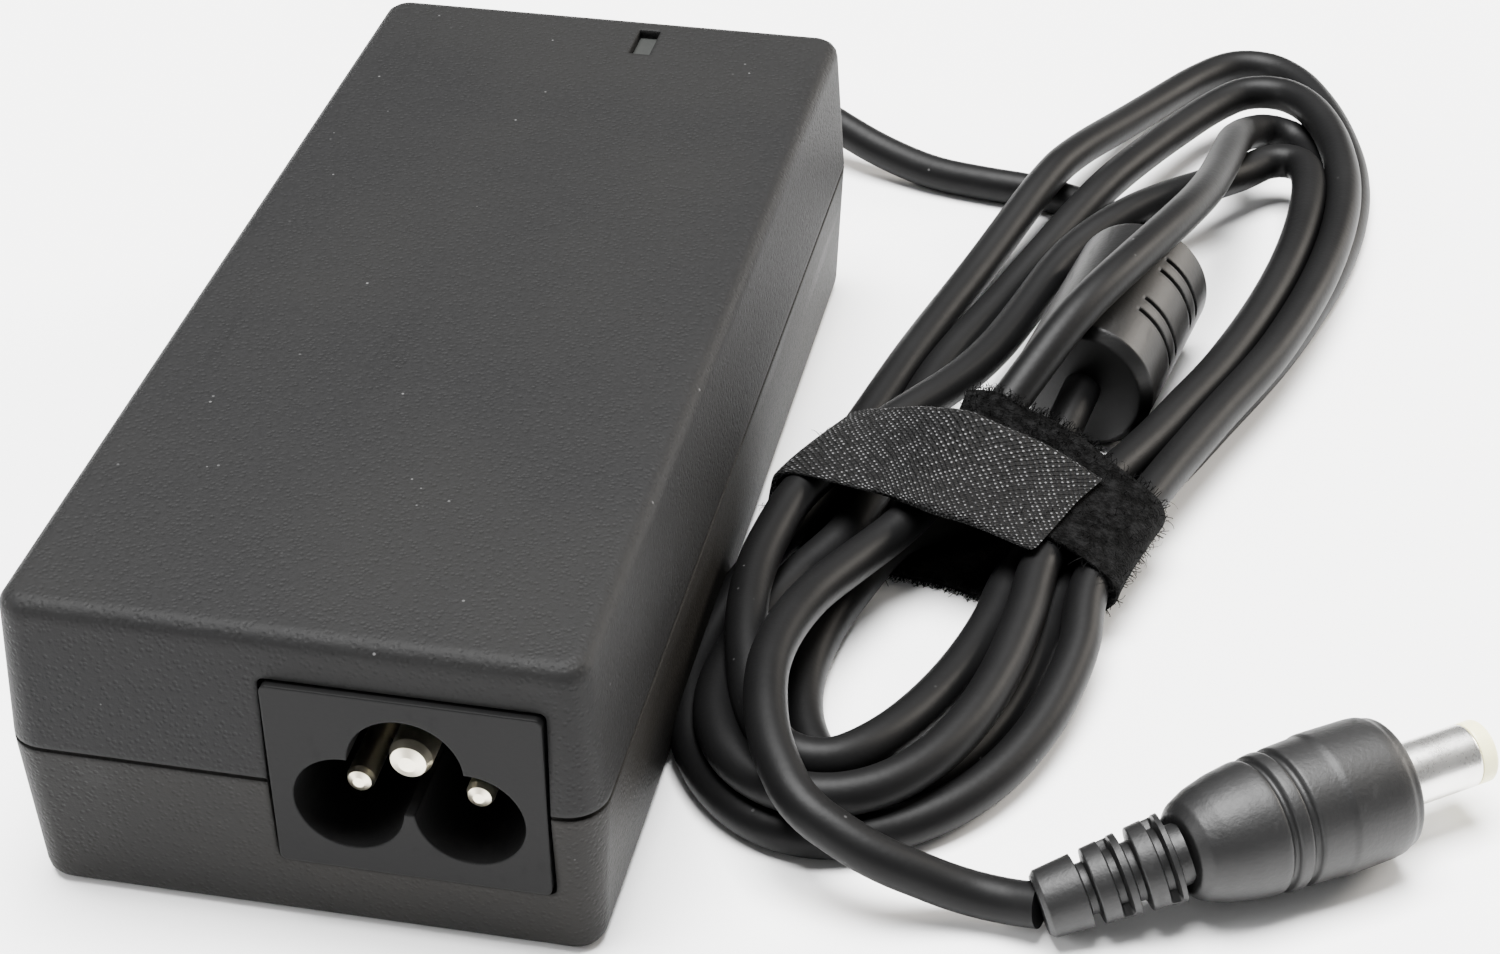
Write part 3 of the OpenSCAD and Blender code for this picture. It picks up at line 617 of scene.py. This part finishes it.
def hull_reach(spots, radius, centre, angles):
    """Distance from the centre, at each angle, to the tight line drawn round all the strands' circles."""
    turn = np.linspace(0, 2 * math.pi, 720, endpoint=False)
    normal = np.stack([np.cos(turn), np.sin(turn)], 1)
    support = ((spots - centre) @ normal.T).max(0) + radius
    facing = np.cos(angles[:, None] - turn[None, :])
    return np.where(facing > 0.02, support[None, :] / np.maximum(facing, 0.02), 1e9).min(1)


def tie_strip(path, radius, width, thick, start, end):
    """The tie as one strip: it starts on top, goes once round the bundle and ends lying on its own start.

    Each station has an angle round the bundle and a drift across it; the strip's section is a flat rounded
    strip whose points stand off the bundle's hull by the layer's height plus their own height.
    """
    centre = np.array([0.0, 5.6])
    wide = np.linspace(-9.5, 9.5, 20)
    fine = np.linspace(-math.pi, math.pi, 361)
    table = np.array([hull_reach(crossing_points(path, w), radius + 0.12, centre, fine) for w in wide])
    smooth = np.exp(-0.5 * (np.arange(-6, 7) / 2.5) ** 2)
    smooth /= smooth.sum()
    wrapped = np.hstack([table[:, -7:-1], table, table[:, 1:7]])
    table = np.array([np.convolve(row, smooth, "valid") for row in wrapped])
    for _ in range(3):
        table[1:-1] = (table[:-2] + 2 * table[1:-1] + table[2:]) / 4
    turn = np.linspace(start, end, 520)
    overlap = start - 360.0
    t = np.clip((overlap + 75 - turn) / 75, 0, 1)
    lift = thick * 1.15 * t * t * (3 - 2 * t)
    drift = np.interp(turn, [end, overlap + 10, -210, -95, -20, 30, start],
                      [-1.5, -1.5, -1.0, 0.0, 0.4, 1.9, 2.2])
    section = []
    half = width / 2
    for x in np.linspace(-half + 0.4, half - 0.4, 17):
        section.append((x, thick / 2))
    section += [(half, thick * 0.25), (half, -thick * 0.25)]
    for x in np.linspace(half - 0.4, -half + 0.4, 17):
        section.append((x, -thick / 2))
    section += [(-half, -thick * 0.25), (-half, thick * 0.25)]
    section = np.array(section)
    rad = np.radians(turn)
    fold = (rad + math.pi) % (2 * math.pi) - math.pi
    w = drift[:, None] + section[None, :, 0] + 0.35 * np.sin(3 * rad)[:, None]
    col = np.clip((w - wide[0]) / (wide[1] - wide[0]), 0, len(wide) - 1.001)
    row = (fold - fine[0]) / (fine[1] - fine[0])
    c0, r0 = col.astype(int), np.minimum(row.astype(int), len(fine) - 2)[:, None]
    fc, fr = col - c0, (row[:, None] - r0)
    reach = ((1 - fc) * ((1 - fr) * table[c0, r0] + fr * table[c0, r0 + 1])
             + fc * ((1 - fr) * table[c0 + 1, r0] + fr * table[c0 + 1, r0 + 1]))
    reach = reach + lift[:, None] + thick / 2 + section[None, :, 1]
    s = centre[0] + reach * np.cos(rad)[:, None]
    z = np.maximum(centre[1] + reach * np.sin(rad)[:, None], 0.02)
    band = np.array([math.cos(TIE_TURN), math.sin(TIE_TURN)])
    side = np.array([-math.sin(TIE_TURN), math.cos(TIE_TURN)])
    xy = TIE_AT + s[..., None] * band + w[..., None] * side
    return np.concatenate([xy, z[..., None]], -1), turn


def tie_tufts(grid, looped, count):
    """Points and faces of short bent fibres standing on the strip's looped side and its two edges.

    Each fibre is five triangles in a row: place = foot + length x (normal x sin(0.65 pi t) + lean x t).
    """
    chance = np.random.default_rng(7)
    rows = np.nonzero(looped)[0][2:-2]
    row = chance.choice(rows, count)
    col = chance.integers(0, 19, count)
    edge = chance.random(count) < 0.4
    col[edge] = chance.choice([17, 18, 36, 37], edge.sum())
    cols = grid.shape[1]
    foot = grid[row, col]
    run = grid[row + 1, col] - grid[row - 1, col]
    across = grid[row, (col + 1) % cols] - grid[row, (col - 1) % cols]
    run /= np.linalg.norm(run, axis=1)[:, None]
    normal = np.cross(run, across)
    normal /= np.linalg.norm(normal, axis=1)[:, None]
    normal *= np.where(((foot - grid[row].mean(1)) * normal).sum(1) < 0, -1.0, 1.0)[:, None]
    lean = run * chance.normal(0, 0.8, (count, 1)) + np.cross(normal, run) * chance.normal(0, 0.8, (count, 1))
    size = chance.uniform(0.25, 0.8, (count, 1))
    t = np.linspace(0, 1, 5)[None, :, None]
    line = foot[:, None] + size[:, None] * (normal[:, None] * np.sin(0.65 * math.pi * t) + lean[:, None] * t)
    side = np.cross(normal, lean)
    side /= np.maximum(np.linalg.norm(side, axis=1), 1e-6)[:, None]
    up = np.cross(side, normal)
    a = np.array([0.0, 2.1, 4.2])
    ring = 0.04 * (np.cos(a)[None, :, None] * side[:, None] + np.sin(a)[None, :, None] * up[:, None])
    points = line[:, :, None] + ring[:, None]
    points[..., 2] = np.maximum(points[..., 2], 0.02)
    base = (np.arange(count) * 15)[:, None, None]
    k, j = np.arange(4)[:, None], np.arange(3)[None, :]
    after = (j + 1) % 3
    quads = np.stack([k * 3 + j, k * 3 + after, k * 3 + 3 + after, k * 3 + 3 + j], -1).reshape(1, 12, 4)
    ends = np.array([[[2, 1, 0], [12, 13, 14]]])
    faces = (base + quads).reshape(-1, 4).tolist() + (base + ends).reshape(-1, 3).tolist()
    return points.reshape(-1, 3), faces


# ---------------------------------------------------------------- settings

class LeadSettings(bpy.types.PropertyGroup):
    """Sizes of the output lead."""
    diameter: FloatProperty(name="Diameter", description="Outside diameter of the lead's jacket",
                            default=0.0038, min=0.003, max=0.005, unit="LENGTH")
    sides: IntProperty(name="Sides", description="Points round the lead", default=24, min=12, max=48)


class TieSettings(bpy.types.PropertyGroup):
    """Sizes of the hook-and-loop tie."""
    width: FloatProperty(name="Width", description="Width of the strip", default=0.0125, min=0.01,
                         max=0.02, unit="LENGTH")
    thickness: FloatProperty(name="Thickness", description="Thickness of one layer", default=0.0009,
                             min=0.0005, max=0.002, unit="LENGTH")
    fibres: IntProperty(name="Fibres", description="Loose fibres on the looped side", default=3000,
                        min=0, max=6000)


class PlugSettings(bpy.types.PropertyGroup):
    """Sizes of the plug."""
    body_radius: FloatProperty(name="Body radius", description="Radius of the moulded body",
                               default=0.0061, min=0.005, max=0.008, unit="LENGTH")
    barrel_radius: FloatProperty(name="Barrel radius", description="Outside radius of the metal barrel",
                                 default=0.00275, min=0.002, max=0.004, unit="LENGTH")


class StageSettings(bpy.types.PropertyGroup):
    """Brightness of the stage."""
    key_power: FloatProperty(name="Key power", description="Power of the large overhead light",
                             default=260.0, min=0.0, max=500.0, unit="POWER")
    sky: FloatProperty(name="Surroundings", description="Brightness of the white surroundings",
                       default=0.3, min=0.0, max=10.0)


# ---------------------------------------------------------------- operators

# Each light: name, place, what it faces, its size, its share of the key power, its colour (metres)
LIGHTS = (
    ("key_light", (-0.1, 0.2, 2.0), (0.03, 0.02, 0), (1.5, 1.1), 1.0, (1, 1, 1)),
    ("left_light", (-0.9, -0.5, 0.5), (0.02, 0, 0), (0.3, 0.6), 0.03, (1, 1, 1)),
    ("right_light", (0.9, 0.7, 0.5), (0.05, 0.05, 0), (0.4, 0.5), 0.07, (1, 0.93, 0.84)),
)


class ADAPTER_OT_stage(bpy.types.Operator):
    """Set up the floor, the soft lights and the camera"""
    bl_idname = "adapter.stage"
    bl_label = "Stage"

    def execute(self, context):
        settings = context.scene.adapter_stage
        size = 1500.0
        floor = make_object("floor", [[-size, -size, 0], [size, -size, 0], [size, size, 0], [-size, size, 0]],
                            [(0, 1, 2, 3)])
        paper = Surface("floor_paper", roughness=0.9)
        soft = paper.noise(3.0, 2.0)
        paper.feed("Base Color", paper.mix(soft, (0.93, 0.93, 0.93), (0.96, 0.96, 0.96)))
        paper.bump(paper.noise(1500.0), 0.00001)
        floor.data.materials.append(paper.material)
        for name, place, aim, extent, share, tint in LIGHTS:
            data = bpy.data.lights.new(name, "AREA")
            data.shape = "RECTANGLE"
            data.size, data.size_y = extent
            data.energy = settings.key_power * share
            data.color = tint
            lamp = bpy.data.objects.new(name, data)
            context.scene.collection.objects.link(lamp)
            aim_at(lamp, place, aim)
        world = bpy.data.worlds.new("surroundings")
        context.scene.world = world
        world.use_nodes = True
        sky = world.node_tree.nodes["Background"]
        sky.inputs["Color"].default_value = (1, 1, 1, 1)
        sky.inputs["Strength"].default_value = settings.sky
        view = bpy.data.cameras.new("view")
        view.lens = CAMERA_LENS
        view.sensor_width = 36.0
        view.clip_start = 0.01
        camera = bpy.data.objects.new("view", view)
        context.scene.collection.objects.link(camera)
        axes = np.column_stack([CAMERA_RIGHT, -np.array(CAMERA_DOWN), -np.array(CAMERA_FORWARD)])
        camera.matrix_world = Matrix.Translation(np.array(CAMERA_PLACE) * MM) @ Matrix(axes.tolist()).to_4x4()
        context.scene.camera = camera
        return {"FINISHED"}


def aim_at(lamp, place, target):
    """The lamp at its place, its face towards the target."""
    back = np.array(place, float) - np.array(target, float)
    back /= np.linalg.norm(back)
    side = np.cross([0.0, 0.0, 1.0], back)
    side /= np.linalg.norm(side)
    axes = np.column_stack([side, np.cross(back, side), back])
    lamp.matrix_world = Matrix.Translation(place) @ Matrix(axes.tolist()).to_4x4()


class ADAPTER_OT_lead(bpy.types.Operator):
    """Wind the output lead, from the case through the bead and the hank to the plug"""
    bl_idname = "adapter.lead"
    bl_label = "Lead"

    def execute(self, context):
        settings = context.scene.adapter_lead
        diameter = settings.diameter / MM
        ring_gap = 0.9
        path = even_steps(through_points(lead_path(diameter), 0.4), ring_gap)
        path[:, 2] = np.maximum(path[:, 2], diameter / 2)
        sides, ups = frames_along(path)
        radii = np.full((len(path), settings.sides), diameter / 2)
        along = np.arange(len(path)) * ring_gap * MM
        lead = make_grid("output_lead", ring_grid(path, sides, ups, radii), along=along)
        put_on(lead, "cord_pvc", lead_finish(), "cord_to_ferrite", "cord_from_ferrite", "cord_hank",
               "cord_to_plug")
        return {"FINISHED"}


class ADAPTER_OT_tie(bpy.types.Operator):
    """Wrap the hook-and-loop tie round the hank"""
    bl_idname = "adapter.tie"
    bl_label = "Tie"

    def execute(self, context):
        settings = context.scene.adapter_tie
        radius = context.scene.adapter_lead.diameter / MM / 2
        path = even_steps(through_points(lead_path(radius * 2), 0.4), 0.6)
        grid, turn = tie_strip(path, radius, settings.width / MM, settings.thickness / MM, TIE_START, TIE_END)
        step = np.linalg.norm(np.diff(grid[:, 8], axis=0), axis=1)
        along = np.concatenate([[0], np.cumsum(step)]) * MM
        tie = make_grid("tie", grid, along=along)
        put_on(tie, "tie_fabric", fuzz_finish(), "tie_strap")
        tie.data.materials.append(weave_finish())
        rows, cols = grid.shape[:2]
        woven = np.zeros(len(tie.data.polygons), np.int32)
        woven[:(rows - 1) * cols] = np.repeat((turn[:-1] < WOVEN_FROM).astype(np.int32), cols)
        woven[-cols:] = 1
        tie.data.polygons.foreach_set("material_index", woven)
        tufts = make_object("tie_tufts", *tie_tufts(grid, turn > WOVEN_FROM, settings.fibres))
        put_on(tufts, "tie_fabric", tie.data.materials[0])
        return {"FINISHED"}


class ADAPTER_OT_case(bpy.types.Operator):
    """Finish the case, the inlet and the light window"""
    bl_idname = "adapter.case"
    bl_label = "Case"

    def execute(self, context):
        dress("upper_shell", case_finish("case_plastic", (0.0062, 0.0062, 0.0064),
                                         (0.0070, 0.0069, 0.0067)))
        # Painted reflection: the lower shell gets a lighter, browner copy of the case plastic, standing in
        # for the white floor reflected in its sides.
        dress("lower_shell", case_finish("case_base_plastic", (0.0070, 0.0068, 0.0064),
                                         (0.0120, 0.0108, 0.0092)))
        dress("inlet_housing", plain_finish("inlet_plastic", (0.0055, 0.0055, 0.0056), 0.5, radius=0.0003,
                                            specular_ior_level=0.08))
        pins = metal_finish("pin_metal", (0.86, 0.80, 0.64), 0.28)
        for node in ("inlet_line_pin", "inlet_neutral_pin", "inlet_earth_pin"):
            dress(node, pins)
        dress("light_pipe", plain_finish("clear_plastic", (0.020, 0.021, 0.020), 0.4, specular_ior_level=0.2))
        dress("indicator_led", plain_finish("led_epoxy", (0.45, 0.7, 0.45), 0.2))
        dress("cord_strain_relief", plain_finish("relief_rubber", (0.004, 0.004, 0.004), 0.45, radius=0.0002))
        return {"FINISHED"}


class ADAPTER_OT_insides(bpy.types.Operator):
    """Finish the board and everything on it"""
    bl_idname = "adapter.insides"
    bl_label = "Insides"

    def execute(self, context):
        black = plain_finish("black_component", (0.03, 0.03, 0.03), 0.5)
        sleeve = plain_finish("sleeve_plastic", (0.05, 0.07, 0.16), 0.3)
        ferrite = plain_finish("ferrite", (0.10, 0.10, 0.11), 0.6, 1800.0, 0.00004)
        copper = metal_finish("copper_wire", (0.75, 0.36, 0.16), 0.35)
        plate = metal_finish("heat_sink_metal", (0.72, 0.73, 0.75), 0.4, (1.0, 0.05, 1.0))
        blue = plain_finish("blue_component", (0.08, 0.25, 0.6), 0.3)
        looks = {
            "circuit_board": plain_finish("board_laminate", (0.42, 0.33, 0.14), 0.5),
            "input_fuse": black, "bridge_rectifier": black, "switching_transistor": black,
            "output_rectifier": black, "control_chip": black,
            "inrush_thermistor": plain_finish("green_component", (0.08, 0.24, 0.12), 0.3),
            "varistor": blue, "safety_capacitor": blue,
            "filter_capacitor": plain_finish("yellow_component", (0.8, 0.64, 0.1), 0.35),
            "choke_core": ferrite, "transformer_core": ferrite, "output_choke": ferrite,
            "ferrite_core": ferrite, "choke_line_winding": copper, "choke_neutral_winding": copper,
            "bulk_capacitor": sleeve, "output_capacitors": sleeve,
            "primary_heat_sink": plate, "secondary_heat_sink": plate,
            "heat_sink_screws": metal_finish("screw_steel", (0.62, 0.62, 0.6), 0.35),
            "optocoupler": plain_finish("white_component", (0.78, 0.78, 0.76), 0.5),
            "transformer_bobbin": plain_finish("bobbin_plastic", (0.04, 0.04, 0.045), 0.45),
            "transformer_winding": plain_finish("winding_tape", (0.8, 0.6, 0.1), 0.3),
            "insulating_sheet": plain_finish("sheet_plastic", (0.76, 0.73, 0.6), 0.6),
            "shield_foil": metal_finish("foil_copper", (0.72, 0.42, 0.24), 0.3),
            "lead_wire_positive": plain_finish("wire_red", (0.6, 0.03, 0.03), 0.35),
            "lead_wire_negative": plain_finish("wire_black", (0.02, 0.02, 0.02), 0.35),
        }
        for node, material in looks.items():
            dress(node, material)
        return {"FINISHED"}


class ADAPTER_OT_bead(bpy.types.Operator):
    """Finish the suppression bead"""
    bl_idname = "adapter.bead"
    bl_label = "Bead"

    def execute(self, context):
        dress("ferrite_cover", plain_finish("bead_plastic", (0.0022, 0.0022, 0.0022), 0.42, radius=0.0005,
                                            specular_ior_level=0.25))
        return {"FINISHED"}


class ADAPTER_OT_plug(bpy.types.Operator):
    """Model the plug: ribbed bend relief, moulded body, barrel and tip"""
    bl_idname = "adapter.plug"
    bl_label = "Plug"

    def execute(self, context):
        settings = context.scene.adapter_plug
        moulded = plain_finish("plug_plastic", (0.0050, 0.0050, 0.0051), 0.48, 2600.0, 0.00003,
                               specular_ior_level=0.32)
        r = settings.body_radius / MM
        body = rounded([(-20.2, 2.4), (-20.2, 3.4), (-19.4, 4.2), (-17.8, 4.9), (-15.6, r - 0.65),
                        (-13.4, r - 0.35), (-12.9, r - 0.35), (-12.7, r - 0.75), (-12.3, r - 0.75),
                        (-12.1, r - 0.25), (-11.0, r - 0.15), (-10.8, r - 0.6), (-10.3, r - 0.6),
                        (-10.1, r - 0.15), (-7.2, r - 0.05),
                        (-6.8, r + 0.1), (-2.0, r), (-1.2, r - 0.1), (-0.9, r - 0.3), (-0.3, r - 0.4),
                        (0, r - 0.8), (0, 2.6)], 0.12, 0.14)
        put_on(lathe("plug_bell", body, PLUG_AT, PLUG_AXIS), "plug_plastic", moulded, "plug_body")
        root = PLUG_AT - 20.0 * PLUG_AXIS
        run = root - RELIEF_TAIL
        length = float(np.linalg.norm(run))
        axis = run / length
        steps = np.arange(0, length + 0.3, 0.08)
        base = np.interp(steps, [0, 0.4, length - 0.9, length - 0.7, length], [2.5, 2.9, 3.8, 2.6, 2.6])
        profile = np.vstack([[0, 1.9], np.stack([steps, base], 1), [length + 0.3, 2.0]])

        def slots(angle, place, radii):
            """Ring slots across the tail; every second one is two half rings out of step, with webs."""
            half = np.sin(angle + 0.5)
            out = radii
            for k in range(4):
                out_of_step = 0.42 * np.sign(half) * (k % 2)
                trench = np.clip((0.5 - np.abs(place - 4.1 - 2.0 * k - out_of_step)) / 0.22, 0, 1)
                web = np.clip((np.abs(half) - 0.06) / 0.1, 0, 1) if k % 2 else 1.0
                out = out - 1.0 * trench * trench * (3 - 2 * trench) * web
            return np.maximum(out, 2.2)

        put_on(lathe("plug_tail", profile, RELIEF_TAIL, axis, dents=slots), "plug_plastic", moulded,
               "plug_strain_relief")
        b = settings.barrel_radius / MM
        wall = 0.4
        barrel = [(-3.9, b - wall), (-3.9, b), (7.75, b), (7.9, b - 0.1), (7.9, b - wall), (-3.9, b - wall)]
        shell = rounded(barrel, 0.15, 0.03)[:-1]
        nickel = metal_finish("barrel_metal", (0.93, 0.92, 0.89), 0.26)
        put_on(lathe("barrel", shell, PLUG_AT, PLUG_AXIS, 128, True), "barrel_metal", nickel, "plug_barrel")
        bore = 1.3
        tip = rounded([(-3.9, bore), (-3.9, b - wall - 0.02), (7.92, b - wall - 0.02), (7.94, b - 0.02),
                       (9.3, b - 0.02), (9.5, b - 0.25), (9.5, bore + 0.1), (9.3, bore), (-3.9, bore)],
                      0.15, 0.04)[:-1]
        yellow = plain_finish("tip_plastic", (0.90, 0.86, 0.50), 0.3, spread=0.06)
        put_on(lathe("tip", tip, PLUG_AT, PLUG_AXIS, 128, True), "tip_plastic", yellow, "plug_tip_insulator")
        dress("plug_inner_contact", metal_finish("contact_metal", (0.82, 0.72, 0.48), 0.3))
        return {"FINISHED"}


class ADAPTER_PT_panel(bpy.types.Panel):
    """Buttons and sizes for the adapter's pieces"""
    bl_label = "Power adapter"
    bl_idname = "ADAPTER_PT_panel"
    bl_space_type = "VIEW_3D"
    bl_region_type = "UI"
    bl_category = "Adapter"

    def draw(self, context):
        for name, operators in GROUPS.items():
            box = self.layout.box()
            group = getattr(context.scene, name)
            for key in group.bl_rna.properties.keys():
                if key not in ("rna_type", "name"):
                    box.prop(group, key)
            for operator in operators:
                box.operator(operator)


GROUPS = {
    "adapter_stage": ("adapter.stage",),
    "adapter_lead": ("adapter.lead", "adapter.bead"),
    "adapter_tie": ("adapter.tie",),
    "adapter_plug": ("adapter.plug",),
}
SETTINGS = {"adapter_stage": StageSettings, "adapter_lead": LeadSettings, "adapter_tie": TieSettings,
            "adapter_plug": PlugSettings}
CLASSES = (LeadSettings, TieSettings, PlugSettings, StageSettings, ADAPTER_OT_stage, ADAPTER_OT_lead,
           ADAPTER_OT_tie, ADAPTER_OT_case, ADAPTER_OT_insides, ADAPTER_OT_bead, ADAPTER_OT_plug,
           ADAPTER_PT_panel)


def register():
    """Classes and their settings made known to Blender."""
    for cls in CLASSES:
        bpy.utils.register_class(cls)
    for name, cls in SETTINGS.items():
        setattr(bpy.types.Scene, name, PointerProperty(type=cls))


def unregister():
    """Everything that register() made known, taken back."""
    for name in SETTINGS:
        delattr(bpy.types.Scene, name)
    for cls in reversed(CLASSES):
        bpy.utils.unregister_class(cls)


def main():
    """Every piece built in order."""
    register()
    for build in (bpy.ops.adapter.stage, bpy.ops.adapter.case, bpy.ops.adapter.insides, bpy.ops.adapter.bead,
                  bpy.ops.adapter.plug, bpy.ops.adapter.lead, bpy.ops.adapter.tie):
        if build() != {"FINISHED"}:
            raise RuntimeError("a piece wasn't built")


if __name__ == "__main__":
    main()
